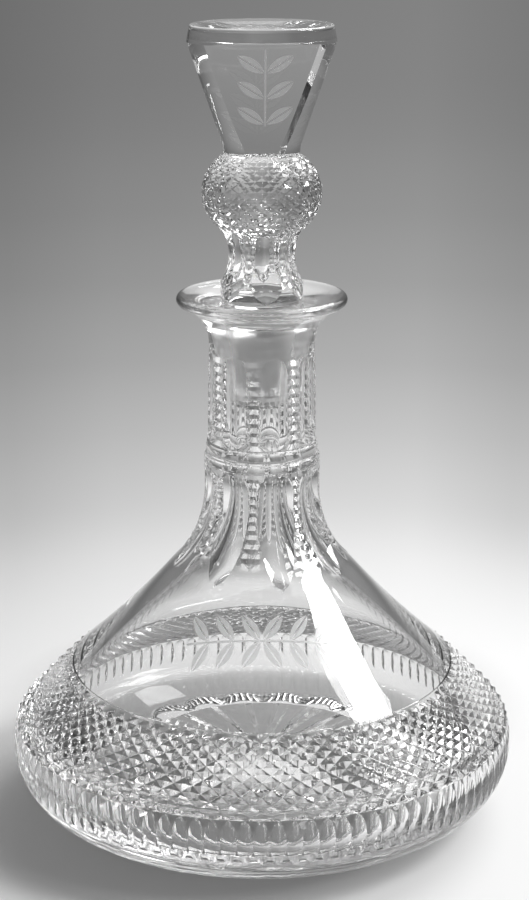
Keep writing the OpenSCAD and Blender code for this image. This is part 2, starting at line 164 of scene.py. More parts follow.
def buildHollowRows():  # hollow flutes or flat panels, with columns that follow their edges
    tree, given = startTree("hollowRows", [
        ("Sectors", "NodeSocketInt"), ("Hollow Columns", "NodeSocketInt"), ("Land Columns", "NodeSocketInt"),
        ("Turn", "NodeSocketFloat"), ("Shape", "NodeSocketFloat"), ("Flat", "NodeSocketBool")])
    inSector = wholeCalc(tree, "ADD", given["Hollow Columns"], given["Land Columns"])
    columns = wholeCalc(tree, "MULTIPLY", given["Sectors"], inSector)
    grid, column, read, radius, height = gridOf(tree, given, columns)
    sector = wholeCalc(tree, "DIVIDE_FLOOR", column, inSector)
    local = wholeCalc(tree, "MODULO", column, inSector)
    pitch = calc(tree, "DIVIDE", 2 * pi, given["Sectors"])
    hollow, half, notch = read("hollow"), read("half"), read("notch")

    inHollow = calc(tree, "MINIMUM", local, given["Hollow Columns"])
    inHollow = calc(tree, "DIVIDE", inHollow, given["Hollow Columns"])
    onLand = calc(tree, "MAXIMUM", calc(tree, "SUBTRACT", local, given["Hollow Columns"]), 0.0)
    onLand = calc(tree, "DIVIDE", onLand, given["Land Columns"])
    across = product(tree, half, calc(tree, "SUBTRACT", product(tree, inHollow, 2.0), 1.0))
    landWide = calc(tree, "SUBTRACT", pitch, product(tree, half, 2.0))
    theta = calc(tree, "ADD", across, product(tree, landWide, onLand))

    away = calc(tree, "POWER", calc(tree, "ABSOLUTE", calc(tree, "DIVIDE", theta, half)), given["Shape"])
    scooped = product(tree, hollow, calc(tree, "SUBTRACT", 1.0, away))
    onPanel = calc(tree, "COSINE", calc(tree, "MINIMUM", theta, half))
    plane = calc(tree, "DIVIDE", calc(tree, "SUBTRACT", radius, hollow), onPanel)
    plane = calc(tree, "SUBTRACT", radius, plane)
    depth = addNode(tree, "GeometryNodeSwitch", {"Switch": given["Flat"], "False": scooped, "True": plane},
                    input_type="FLOAT").outputs[0]
    lens = product(tree, onLand, calc(tree, "SUBTRACT", 1.0, onLand), 4.0)  # a notch is deepest mid pillar
    depth = calc(tree, "MAXIMUM", depth, product(tree, notch, lens))
    angle = calc(tree, "ADD", product(tree, sector, pitch), theta)
    angle = calc(tree, "ADD", angle, given["Turn"])
    return closeTree(tree, given, grid, radius, height, depth, read("lean"), angle)


cutRows = buildCutRows()
hollowRows = buildHollowRows()
print("geometry trees built")


# bands of rows, and the welding of bands into one closed piece

plainRow = {"wide": 1.0, "hollow": 1e-3, "half": 0.2}  # a row with no cut
weldDist, sliverDist = 2e-6, 1e-7  # m
leastHollow = 0.02  # mm, where a hollow runs out
rowShares = {  # where the rows of an uneven stretch stand, as shares of it
    "arch": (0.4, 0.7, 0.9, 1.0), "funnel": (0.3, 0.65, 1.0), "taper": (0.02, 0.25, 0.5, 0.75, 1.0),
    "bore": (0.3, 0.6), "inFloor": (0.75, 0.5, 0.25, 0.0),
    "rimSide": (0.0, 0.35, 0.7), "rimTop": (0.8, 0.4, 0.0),
}
rowSteps = {  # steps in each even stretch
    "rays": 8, "scallops": 6, "under": 14, "flutes": 14, "shoulder": 24, "lowRun": 5, "ring": 6, "flare": 14,
    "edge": 16, "dish": 8, "inSweep": 16, "inCone": 8, "inGirdle": 8, "inCorner": 14,
    "stemFoot": 6, "head": 24, "ledge": 8, "rim": 6,
}


def row(r, z, **sizes):
    return dict(plainRow, r=r, z=z, **sizes)


def shares(count):
    return [i / count for i in range(count + 1)]


def makeBand(tree, rows, columns, glass, **inputs):
    line = bpy.data.meshes.new("profileLine")
    points = [(p["r"] * mm, 0, p["z"] * mm) for p in rows]
    line.from_pydata(points, [(i, i + 1) for i in range(len(rows) - 1)], [])
    for name in rowSizes:
        scale = mm if name in rowLengths else 1
        sizes = line.attributes.new(name, "FLOAT", "POINT")
        sizes.data.foreach_set("value", [p.get(name, 0) * scale for p in rows])
    band = bpy.data.objects.new("profileLine", line)
    scene.collection.objects.link(band)
    rowsMod = band.modifiers.new("rows", "NODES")
    rowsMod.node_group = tree
    sockets = {s.name: s.identifier for s in tree.interface.items_tree if s.in_out == "INPUT"}
    for label, value in dict(inputs, Glass=glass).items():
        rowsMod[sockets[label]] = value
    mesh = bpy.data.meshes.new_from_object(band.evaluated_get(bpy.context.evaluated_depsgraph_get()))
    band.modifiers.remove(rowsMod)
    bpy.data.objects.remove(band)
    bpy.data.meshes.remove(line)
    return {"mesh": mesh, "rows": len(rows), "columns": columns}


def cutBand(rows, columns, glass, repeat=2):
    return makeBand(cutRows, rows, columns, glass, Columns=columns, Repeat=repeat)


def hollowBand(rows, sectors, columns, glass, turn=0.0, shape=2.0, flat=False):
    sizes = {"Sectors": sectors, "Hollow Columns": columns[0], "Land Columns": columns[1],
             "Turn": radians(turn), "Shape": shape, "Flat": flat}
    return makeBand(hollowRows, rows, sectors * sum(columns), glass, **sizes)


def byAngle(ring):
    turned = [(atan2(v.co.y, v.co.x) % (2 * pi), v) for v in ring]
    start = min(range(len(turned)), key=lambda i: turned[i][0])
    turned = turned[start:] + turned[:start]
    return turned + [(turned[0][0] + 2 * pi, turned[0][1])]


def zipRings(bm, lower, upper):
    low, high = byAngle(lower), byAngle(upper)
    i = j = 0
    while i < len(low) - 1 or j < len(high) - 1:
        stepLow = j == len(high) - 1 or (i < len(low) - 1 and low[i + 1][0] <= high[j + 1][0])
        if stepLow:
            corners = (low[i][1], low[i + 1][1], high[j][1])
            i += 1
        else:
            corners = (low[i][1], high[j + 1][1], high[j][1])
            j += 1
        if len(set(corners)) == 3:
            bm.faces.new(corners)


def weldPiece(name, bands, glass, sharp):
    bm = bmesh.new()
    top = None
    for band in bands:
        verts = [bm.verts.new(v.co) for v in band["mesh"].vertices]
        for face in band["mesh"].polygons:
            bm.faces.new([verts[i] for i in face.vertices])
        ends = (0, band["rows"] - 1)
        ring = [[verts[c * band["rows"] + at] for c in range(band["columns"])] for at in ends]
        if top:
            zipRings(bm, top, ring[0])
        top = ring[1]
        bpy.data.meshes.remove(band["mesh"])
    bmesh.ops.remove_doubles(bm, verts=bm.verts, dist=weldDist)
    bmesh.ops.dissolve_degenerate(bm, edges=bm.edges, dist=sliverDist)
    bmesh.ops.recalc_face_normals(bm, faces=bm.faces)
    openEdges = sum(1 for e in bm.edges if len(e.link_faces) != 2)
    mesh = bpy.data.meshes.new(name)
    bm.to_mesh(mesh)
    bm.free()
    mesh.materials.clear()
    mesh.materials.append(glass)
    mesh.shade_smooth()
    mesh.set_sharp_from_angle(angle=radians(sharp))
    piece = bpy.data.objects.new(name, mesh)
    scene.collection.objects.link(piece)
    print(name, "faces", len(mesh.polygons), "open edges", openEdges)
    return piece


def arcRows(centre, r, fromDeg, toDeg, steps):
    turns = [radians(fromDeg + (toDeg - fromDeg) * u) for u in shares(steps)]
    return [row(centre[0] + r * cos(a), centre[1] + r * sin(a)) for a in turns]


def touchHalf(r, depth, wheel):  # half angle of a flute of that depth, ground by a round wheel
    c = r - depth + wheel
    return acos(min(1, (c * c + r * r - wheel * wheel) / (2 * c * r)))


def rise(away, r):  # height over which an arc comes away from the line that it touches
    return sqrt(r * r - (r - away) ** 2)


# materials

leafShape = {  # in steps between two pairs of leaves
    "start": 0.06, "lean": 58, "long": 1.35, "wide": 0.26, "soft": 0.04,
    "rib": (0.015, 0.04), "ribTone": 0.25, "stalk": (0.05, 0.03),
}
polishMarks = {"scale": 45.0, "detail": 4.0, "range": (0.52, 0.75), "waveScale": 14.0, "waveDetail": 1.0}
crystal = {  # both pieces are of one glass
    "tint": 0.99, "ior": 1.54, "haze": 0.03, "grain": 2e-5, "shadow": (0.66, 0.66, 0.66),
}
groundGlass = {  # mm; the matt seat and peg, with painted shade as dark specks at the lower edge, where the peg's end sits in the bore
    "within": 12.2, "soft": 0.2, "rough": 0.3, "dim": 0.2, "grainScale": 900.0,
    "edge": (1.0, 1.4), "edgeShadeDim": 0.75, "edgeShadeScale": 420.0, "edgeShadeFrom": 0.45,
}


def leafGroup(leaf):  # a spray of plain leaves either side of a stalk, as a mask
    tree = bpy.data.node_groups.new("leafSpray", "ShaderNodeTree")
    for label in ("Along", "Across", "Pairs"):
        tree.interface.new_socket(label, in_out="INPUT", socket_type="NodeSocketFloat")
    tree.interface.new_socket("Mask", in_out="OUTPUT", socket_type="NodeSocketFloat")
    given = addNode(tree, "NodeGroupInput").outputs
    along = calc(tree, "ABSOLUTE", given["Along"])
    side = calc(tree, "ABSOLUTE", given["Across"])
    inPair = calc(tree, "SUBTRACT", calc(tree, "FRACT", along), leaf["start"])
    c, s = cos(radians(leaf["lean"])), sin(radians(leaf["lean"]))
    reach = calc(tree, "ADD", product(tree, inPair, c), product(tree, side, s))
    off = calc(tree, "ABSOLUTE", calc(tree, "SUBTRACT", product(tree, side, c), product(tree, inPair, s)))
    bow = calc(tree, "SUBTRACT", product(tree, reach, 2 / leaf["long"]), 1.0)
    room = product(tree, calc(tree, "SUBTRACT", 1.0, product(tree, bow, bow)), leaf["wide"])
    blade = ranged(tree, calc(tree, "SUBTRACT", room, off), 0.0, leaf["soft"], "SMOOTHSTEP")
    rib = ranged(tree, off, *leaf["rib"], start=leaf["ribTone"])
    stalk = ranged(tree, side, *leaf["stalk"])
    both = calc(tree, "MAXIMUM", product(tree, blade, rib), stalk)
    within = calc(tree, "LESS_THAN", along, given["Pairs"])
    addNode(tree, "NodeGroupOutput", {0: product(tree, both, within)})
    return tree


def polishGroup(marks):  # faint drifts of handling marks, and the slow waves of hand-blown glass
    tree = bpy.data.node_groups.new("handPolish", "ShaderNodeTree")
    tree.interface.new_socket("Place", in_out="INPUT", socket_type="NodeSocketVector")
    tree.interface.new_socket("Haze", in_out="INPUT", socket_type="NodeSocketFloat")
    tree.interface.new_socket("Roughness", in_out="OUTPUT", socket_type="NodeSocketFloat")
    tree.interface.new_socket("Wave", in_out="OUTPUT", socket_type="NodeSocketFloat")
    given = addNode(tree, "NodeGroupInput").outputs
    drift = noise(tree, given["Place"], marks["scale"], marks["detail"])
    drift = ranged(tree, drift, *marks["range"])
    wave = noise(tree, given["Place"], marks["waveScale"], marks["waveDetail"])
    addNode(tree, "NodeGroupOutput", {0: product(tree, drift, given["Haze"]), 1: wave})
    return tree


leafSpray, handPolish = leafGroup(leafShape), polishGroup(polishMarks)


def glassMaterial(look, engraving):
    material = bpy.data.materials.new(look["name"])
    material.use_nodes = True
    tree = material.node_tree
    tree.nodes.clear()
    place = addNode(tree, "ShaderNodeTexCoord").outputs["Object"]
    at = addNode(tree, "ShaderNodeSeparateXYZ", {0: place}).outputs
    flat = addNode(tree, "ShaderNodeCombineXYZ", {"X": at["X"], "Y": at["Y"]}).outputs[0]
    radius = addNode(tree, "ShaderNodeVectorMath", {0: flat}, operation="LENGTH").outputs["Value"]
    polish = addNode(tree, "ShaderNodeGroup", node_tree=handPolish)
    feed(tree, polish.inputs["Place"], place)
    polish.inputs["Haze"].default_value = crystal["haze"]

    g = groundGlass
    low, high, soft = look["groundLow"] * mm, look["groundHigh"] * mm, g["soft"] * mm
    nearAxis = calc(tree, "LESS_THAN", radius, g["within"] * mm)
    ground = product(tree, between(tree, at["Z"], low, high, soft), nearAxis)
    leaves = engraving(tree, at, radius, look)
    frost = product(tree, leaves, look["leafRough"])
    frost = calc(tree, "MAXIMUM", product(tree, ground, g["rough"]), frost)
    rough = calc(tree, "MAXIMUM", frost, polish.outputs["Roughness"])
    grain = noise(tree, place, g["grainScale"])
    matt = product(tree, grain, calc(tree, "MAXIMUM", ground, leaves), crystal["grain"])
    height = calc(tree, "ADD", product(tree, polish.outputs["Wave"], look["wave"]), matt)
    bump = addNode(tree, "ShaderNodeBump", {"Height": height, "Strength": 1.0, "Distance": 1.0}).outputs[0]

    # painted shade: dark specks dim the base colour along the lower edge of the ground zone
    edgeSpecks = calc(tree, "GREATER_THAN", noise(tree, place, g["edgeShadeScale"]), g["edgeShadeFrom"])
    edge = between(tree, at["Z"], low - g["edge"][0] * mm, low + g["edge"][1] * mm, soft)
    paintedEdgeShade = product(tree, edge, nearAxis, edgeSpecks, g["edgeShadeDim"])
    dim = calc(tree, "MAXIMUM", product(tree, ground, g["dim"]), paintedEdgeShade)
    colour = product(tree, calc(tree, "SUBTRACT", 1.0, dim), crystal["tint"])
    # painted light: the engraved leaves glow a little, standing in for the light their frosted cuts scatter
    glass = addNode(tree, "ShaderNodeBsdfPrincipled", {
        "Base Color": colour, "Roughness": rough, "Normal": bump,
        "Emission Color": product(tree, leaves, look["leafGlow"])})
    glass.inputs["Emission Strength"].default_value = 1.0
    glass.inputs["Transmission Weight"].default_value = 1.0
    glass.inputs["IOR"].default_value = crystal["ior"]
    clear = addNode(tree, "ShaderNodeBsdfTransparent")
    clear.inputs["Color"].default_value = crystal["shadow"] + (1,)
    shadowRay = addNode(tree, "ShaderNodeLightPath").outputs["Is Shadow Ray"]
    mix = addNode(tree, "ShaderNodeMixShader", {0: shadowRay, 1: glass.outputs[0], 2: clear.outputs[0]})
    addNode(tree, "ShaderNodeOutputMaterial", {"Surface": mix.outputs[0]})
    return material


def sprayMask(tree, along, across, pairs):
    spray = addNode(tree, "ShaderNodeGroup", {"Along": along, "Across": across}, node_tree=leafSpray)
    spray.inputs["Pairs"].default_value = pairs
    return spray.outputs[0]


def shoulderSpray(tree, at, radius, look):  # one spray on the front of the shoulder, on the unrolled cone
    pitch = look["leafPitch"] * mm
    turn = calc(tree, "ARCTAN2", at["X"], product(tree, at["Y"], -1.0))
    along = calc(tree, "DIVIDE", product(tree, turn, radius), pitch)
    droop = product(tree, along, along, look["leafDroop"] * mm)
    across = calc(tree, "SUBTRACT", at["Z"], calc(tree, "SUBTRACT", look["leafZ"] * mm, droop))
    across = calc(tree, "DIVIDE", across, pitch * look["leafSpread"])
    onShoulder = between(tree, at["Z"], look["leafLow"] * mm, look["leafHigh"] * mm, look["leafSoft"] * mm)
    front = calc(tree, "LESS_THAN", calc(tree, "ABSOLUTE", turn), look["leafTurn"])
    outside = calc(tree, "GREATER_THAN", calc(tree, "ADD", radius, at["Z"]), look["skinSum"] * mm)
    return product(tree, sprayMask(tree, along, across, look["leafPairs"]), onShoulder, front, outside)


def panelSpray(tree, at, radius, look):  # an upright sprig on the front panel of the head
    pitch = look["leafPitch"] * mm
    t = radians(look["panelTurn"])
    across = calc(tree, "SUBTRACT", product(tree, at["Y"], cos(t)), product(tree, at["X"], sin(t)))
    across = calc(tree, "DIVIDE", across, pitch)
    along = calc(tree, "DIVIDE", calc(tree, "SUBTRACT", at["Z"], look["leafZ"] * mm), pitch)
    above = between(tree, at["Z"], look["leafZ"] * mm, look["leafTop"] * mm, look["leafSoft"] * mm)
    front = calc(tree, "LESS_THAN", at["Y"], 0.0)
    return product(tree, sprayMask(tree, along, across, look["leafPairs"]), above, front)


# the decanter

decanterCut = {  # mm and degrees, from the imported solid
    "bowlR": 90, "sideZ": 25.3, "sideTall": 2.7, "underR": 20, "girdleR": 13, "slope": 45, "sag": 1.0,
    "footR": 64, "footWide": 4, "footLift": 3.0, "footEdge": 0.3,
    "rays": 20, "rayColumns": 12, "rayDeep": 1.0, "rayFill": 0.5, "rayGap": 0.4, "hubR": 2.7,
    "scallopWide": 14, "scallopBow": 4.5,
    "diamonds": 78, "diamondRows": 12, "diamondDeep": 1.2, "diamondProud": 0.5, "diamondRise": 6,
    "bandTall": 20.3, "flutes": 104, "fluteDrop": 8, "fluteDeep": 1.5, "fluteLeast": 0.004, "fluteSink": 0.1,
    "fluteFill": 0.985, "fluteEnd": 0.1, "fluteSeams": (0.2, 0.6), "fluteColumns": (6, 1),
    "lineTall": 0.8, "lineDrop": 0.4, "lineDeep": 0.7, "lineUp": 0.1,
    "neckR": 20.3, "sweepR": 40, "pillars": 8, "pillarColumns": (14, 8), "lowTall": 30, "lowRise": 7.8,
    "ringTall": 9.6, "ringGap": 0.4, "ringSeams": (0.15, 0.8), "ringRound": 0.35, "ringGroove": 0.9,
    "upperR": 18.9, "upperTall": 32.6, "collarR": 18.4, "collarTall": 1.6, "collarRows": (0.3, 1.0),
    "notches": 10, "notchDeep": 0.9, "hollowDeep": 2.7, "upperHollow": 1.4, "wheelR": 14, "neckTurn": 13.5,
    "lipR": 29.5, "flareR": 14, "flareTurn": 66, "edgeR": 1.9, "dish": 2.0, "mouthEdge": 0.3,
    "shoulderWall": 6.5, "sideWall": 8.5, "baseWall": 16, "boreR": 9, "mouthR": 14, "funnelTall": 5,
    "seatTall": 30, "seatTaper": 2.5, "inSeam": 0.4, "inGirdleR": 9, "sharp": 20,
}
decanterLook = {
    "name": "cutCrystal", "wave": 6e-5, "leafGlow": 0.0, "leafRough": 0.42, "leafPitch": 9.0,
    "leafPairs": 3.0, "leafSpread": 0.7, "leafZ": 78.0, "leafDroop": 0.35, "leafLow": 57.0, "leafHigh": 88.0,
    "leafSoft": 0.5, "leafTurn": 1.2,
    "skinSum": 120.0,  # radius and height added up: past it is the outer skin
}
plainColumns = 192


def decanterSizes(d):
    s = dict(d)
    a = radians(d["slope"])
    s["out"] = (sin(a), cos(a))
    s["girdleZ"] = d["sideZ"] + d["sideTall"]
    s["start"] = (d["bowlR"] - d["girdleR"] + d["girdleR"] * sin(a), s["girdleZ"] + d["girdleR"] * cos(a))
    s["coneR"] = lambda z: s["start"][0] - (z - s["start"][1]) / tan(a)
    s["coneZ"] = lambda r: s["start"][1] + (s["start"][0] - r) * tan(a)
    s["fluteZ"] = d["sideZ"] - d["fluteDrop"]
    s["diamondZ"] = s["girdleZ"] + d["diamondRise"]
    s["lineZ"] = s["diamondZ"] + d["bandTall"]
    s["lineR"] = s["coneR"](s["lineZ"]) - d["diamondDeep"]
    s["sweepEndR"] = d["neckR"] + d["sweepR"] * (1 - sin(a))
    s["sweepEndZ"] = s["coneZ"](s["sweepEndR"])
    s["sweepZ"] = s["sweepEndZ"] + d["sweepR"] * cos(a)
    s["lowTop"] = s["sweepZ"] + d["lowRise"]
    s["lowBottom"] = s["lowTop"] - d["lowTall"]
    s["notchHalf"] = d["lowTall"] / d["notches"] / 2
    s["upperBottom"] = s["lowTop"] + d["ringTall"]
    s["upperTop"] = s["upperBottom"] + d["upperTall"]
    s["flareZ"] = s["upperTop"] + d["collarTall"]
    f = radians(d["flareTurn"])
    flareEnd = (d["collarR"] + d["flareR"] * (1 - cos(f)), s["flareZ"] + d["flareR"] * sin(f))
    edgeStartR = d["lipR"] - d["edgeR"] + d["edgeR"] * cos(f)
    edgeStartZ = flareEnd[1] + (edgeStartR - flareEnd[0]) / tan(f)
    s["edge"] = (d["lipR"] - d["edgeR"], edgeStartZ + d["edgeR"] * sin(f))
    s["lipTop"] = s["edge"][1] + d["edgeR"]
    s["mouthZ"] = s["lipTop"] - d["dish"]
    s["seatTop"] = s["mouthZ"] - d["funnelTall"]
    s["seatBottom"] = s["seatTop"] - d["seatTall"]
    s["seatR"] = d["boreR"] + d["seatTaper"]
    return s


def bowlSkin(s, z):  # radius and lean of the bowl's skin at a height
    if z < s["sideZ"]:
        lean = asin((z - s["sideZ"]) / s["underR"])
        return s["bowlR"] - s["underR"] * (1 - cos(lean)), lean
    if z < s["girdleZ"]:
        return s["bowlR"], 0.0
    if z < s["start"][1]:
        lean = asin((z - s["girdleZ"]) / s["girdleR"])
        return s["bowlR"] - s["girdleR"] * (1 - cos(lean)), lean
    return s["coneR"](z), radians(90 - s["slope"])


def baseRows(s):  # a star of V rays in the hollow of the base, and a ring of scallops round it
    down = radians(-90)
    chordR = s["footR"] - s["footWide"] - s["scallopWide"]
    rayLong = chordR - s["rayGap"] - s["hubR"]
    rows = [row(0, s["footLift"], lean=down), row(s["hubR"], s["footLift"], lean=down)]
    for u in shares(rowSteps["rays"])[1:]:
        deep = s["rayDeep"] * u
        wide = deep / s["rayFill"]
        rows.append(row(s["hubR"] + rayLong * u, s["footLift"], lean=down, deep=deep, wide=wide))
    for u in shares(rowSteps["scallops"]):
        r, z = chordR + s["scallopWide"] * u, s["footLift"] * (1 - u)
        rows.append(row(r, z, swell=s["scallopBow"] * u))
    rows.append(row(s["footR"] - s["footEdge"], 0))
    return rows


def underRows(s):
    centre = (s["bowlR"] - s["underR"], s["sideZ"])
    v = (s["footR"] - centre[0], -centre[1])
    touch = degrees(atan2(v[1], v[0]) + acos(s["underR"] / hypot(*v)))
    top = degrees(bowlSkin(s, s["fluteZ"])[1])
    rows = arcRows(centre, s["underR"], touch, top, rowSteps["under"])
    return [row(s["footR"], s["footEdge"] / 2)] + rows[:-1]


def fluteRows(s):
    pitchHalf = pi / s["flutes"]
    low, high = s["fluteZ"] + s["fluteSeams"][0], s["diamondZ"] - s["fluteSeams"][1]
    rows = []
    for u in shares(rowSteps["flutes"]):
        z = low + (high - low) * u
        r, lean = bowlSkin(s, z)
        full = 4 * u * (1 - u)  # deepest at mid height
        hollow = max(s["fluteDeep"] * full, s["fluteLeast"])
        half = pitchHalf * s["fluteFill"] * max(sqrt(full), s["fluteEnd"])
        r, z = r - s["fluteSink"] * cos(lean), z - s["fluteSink"] * sin(lean)
        rows.append(row(r, z, lean=lean, hollow=hollow, half=half))
    return rows


def diamondRows(s):
    apex = s["coneZ"](0)
    share = (apex - s["lineZ"]) / (apex - s["diamondZ"])
    rows = []
    for j in range(s["diamondRows"]):
        z = apex - (apex - s["diamondZ"]) * share ** (j / s["diamondRows"])
        r, lean = bowlSkin(s, z)
        rows.append(row(r + s["diamondProud"] * cos(lean), z + s["diamondProud"] * sin(lean), lean=lean,
                        deep=s["diamondDeep"], wide=s["diamondDeep"], step=j + 1))
    return rows


def shoulderRows(s):
    lipZ = s["lineZ"] + s["lineTall"]
    lip = (s["coneR"](lipZ), lipZ)
    run = (s["sweepEndR"] - lip[0], s["sweepEndZ"] - lip[1])
    rows = [row(s["lineR"], s["lineZ"] - s["lineDrop"]),
            row(s["lineR"] - s["lineDeep"], s["lineZ"] + s["lineUp"])]
    for u in shares(rowSteps["shoulder"])[:-1]:
        sag = s["sag"] * 4 * u * (1 - u)
        rows.append(row(lip[0] + u * run[0] - sag * s["out"][0], lip[1] + u * run[1] - sag * s["out"][1]))
    return rows


def lowNeckRows(s):
    drop = s["sweepZ"] - s["sweepEndZ"]
    away = s["sweepEndR"] - s["neckR"] + s["hollowDeep"]
    runR = (drop * drop + away * away) / (2 * away)
    archZ = s["lowTop"] + s["notchHalf"] - rise(s["hollowDeep"], s["wheelR"])
    plain = s["lowBottom"] - s["sweepEndZ"]
    heights = [(s["sweepEndZ"] + plain * u, 0) for u in shares(rowSteps["lowRun"])[:-1]]
    steps = s["notches"] * 2
    heights += [(s["lowBottom"] + i * s["notchHalf"], s["notchDeep"] * (i % 2)) for i in range(steps + 1)]
    heights += [(s["lowTop"] + s["notchHalf"] * u, 0) for u in rowShares["arch"]]
    rows = []
    for z, notch in heights:
        lean, r, hollow = 0.0, s["neckR"], s["hollowDeep"]
        if z < s["sweepZ"]:
            lean = asin((s["sweepZ"] - z) / s["sweepR"])
            r = s["neckR"] + s["sweepR"] * (1 - cos(lean))
            cutter = s["neckR"] - s["hollowDeep"] + runR - sqrt(runR ** 2 - (s["sweepZ"] - z) ** 2)
            hollow = max(leastHollow, (r - cutter) * cos(lean))
        elif z > archZ:
            reach = sqrt(max(0, s["wheelR"] ** 2 - (z - archZ) ** 2))
            hollow = max(leastHollow, reach - s["wheelR"] + s["hollowDeep"])
        half = touchHalf(r / cos(lean), hollow, s["wheelR"]) / cos(lean)
        rows.append(row(r, z, lean=lean, hollow=hollow, half=half, notch=notch))
    return rows


def ringRows(s):
    mid = s["lowTop"] + s["ringTall"] / 2
    topR = (s["neckR"] + s["upperR"]) / 2
    lowRing = (s["neckR"], s["lowTop"] + s["notchHalf"] + s["ringSeams"][0], mid - s["ringGap"])
    highRing = (topR, mid + s["ringGap"], s["upperBottom"] - s["ringSeams"][1])
    rows = []
    for r, low, high in (lowRing, highRing):
        for u in shares(rowSteps["ring"]):
            rows.append(row(r - s["ringRound"] * (2 * u - 1) ** 4, low + (high - low) * u))
        rows.append(row(r - s["ringGroove"], high + s["ringGap"]))
    return rows


def upperNeckRows(s):
    arch = rise(s["upperHollow"], s["wheelR"])
    count = s["notches"] * 4
    rows = []
    for i, u in enumerate(shares(count)):
        z = s["upperBottom"] + s["upperTall"] * u
        r = s["upperR"] + (s["collarR"] - s["upperR"]) * u
        toEnd = min(z - s["upperBottom"], s["upperTop"] - z)
        if i % 2 and toEnd > arch:  # quarter rows only where the hollows arch
            continue
        short = max(0, arch - toEnd)
        reach = sqrt(s["wheelR"] ** 2 - short ** 2)
        hollow = max(leastHollow, reach - s["wheelR"] + s["upperHollow"])
        notch = s["notchDeep"] * (1 - abs((i % 4) - 2) / 2)
        rows.append(row(r, z, hollow=hollow, half=touchHalf(r, hollow, s["wheelR"]), notch=notch))
    return rows


def lipRows(s):
    rows = [row(s["collarR"], s["upperTop"] + up) for up in s["collarRows"]]
    flare = (s["collarR"] + s["flareR"], s["flareZ"])
    rows += arcRows(flare, s["flareR"], 180, 180 - s["flareTurn"], rowSteps["flare"])
    rows += arcRows(s["edge"], s["edgeR"], -s["flareTurn"], 90, rowSteps["edge"])
    dishWide = s["mouthR"] + s["mouthEdge"] - s["edge"][0]
    for u in shares(rowSteps["dish"])[1:]:
        rows.append(row(s["edge"][0] + dishWide * u, s["lipTop"] - s["dish"] * u))
    rows.append(row(s["mouthR"], s["mouthZ"] - s["mouthEdge"]))
    funnel = (s["seatR"] - s["mouthR"], s["seatTop"] - s["mouthZ"])
    for u in rowShares["funnel"]:
        rows.append(row(s["mouthR"] + funnel[0] * u, s["mouthZ"] + funnel[1] * u))
    for u in rowShares["taper"]:
        rows.append(row(s["seatR"] - s["seatTaper"] * u, s["seatTop"] - s["seatTall"] * u))
    return rows


def insideRows(s):
    wall = s["shoulderWall"]
    inStart = (s["start"][0] - wall * s["out"][0], s["start"][1] - wall * s["out"][1])
    slope = tan(radians(s["slope"]))
    coneZ = lambda r: inStart[1] + (inStart[0] - r) * slope
    sideR = s["bowlR"] - s["sideWall"]
    endR = sideR - s["inGirdleR"] * (1 - s["out"][0])
    girdleZ = max(coneZ(endR) - s["inGirdleR"] * s["out"][1], s["sideZ"] + s["inSeam"])
    sweepZ = coneZ(s["boreR"] + s["sweepR"] * (1 - s["out"][0])) + s["sweepR"] * s["out"][1]
    lowR = s["sideZ"] - s["baseWall"]
    rows = [row(s["boreR"], s["seatBottom"] - s["inSeam"])]
    rows += [row(s["boreR"], s["seatBottom"] + (sweepZ - s["seatBottom"]) * u) for u in rowShares["bore"]]
    sweep = (s["boreR"] + s["sweepR"], sweepZ)
    rows += arcRows(sweep, s["sweepR"], 180, 180 + s["slope"], rowSteps["inSweep"])
    last = rows[-1]
    run = (endR - last["r"], coneZ(endR) - last["z"])
    for u in shares(rowSteps["inCone"])[1:-1]:
        rows.append(row(last["r"] + run[0] * u, last["z"] + run[1] * u))
    girdle = (sideR - s["inGirdleR"], girdleZ)
    rows += arcRows(girdle, s["inGirdleR"], 90 - s["slope"], 0, rowSteps["inGirdle"])
    rows += arcRows((sideR - lowR, s["sideZ"]), lowR, 0, -90, rowSteps["inCorner"])
    rows += [row((sideR - lowR) * u, s["baseWall"]) for u in rowShares["inFloor"]]
    return rows


decanter = decanterSizes(decanterCut)
decanterLook["groundLow"], decanterLook["groundHigh"] = decanter["seatBottom"], decanter["seatTop"]
cutCrystal = glassMaterial(decanterLook, shoulderSpray)
rayColumns = decanter["rayColumns"]
pillars = decanter["pillars"], decanter["pillarColumns"], cutCrystal, decanter["neckTurn"]
decanterGlass = weldPiece("decanterGlass", [
    cutBand(baseRows(decanter), decanter["rays"] * rayColumns, cutCrystal, repeat=rayColumns),
    cutBand(underRows(decanter), plainColumns, cutCrystal),
    hollowBand(fluteRows(decanter), decanter["flutes"], decanter["fluteColumns"], cutCrystal),
    cutBand(diamondRows(decanter), decanter["diamonds"] * 2, cutCrystal),
    cutBand(shoulderRows(decanter), plainColumns, cutCrystal),
    hollowBand(lowNeckRows(decanter), *pillars),
    cutBand(ringRows(decanter), plainColumns, cutCrystal),
    hollowBand(upperNeckRows(decanter), *pillars),
    cutBand(lipRows(decanter) + insideRows(decanter), plainColumns, cutCrystal),
], cutCrystal, decanter["sharp"])


# the stopper

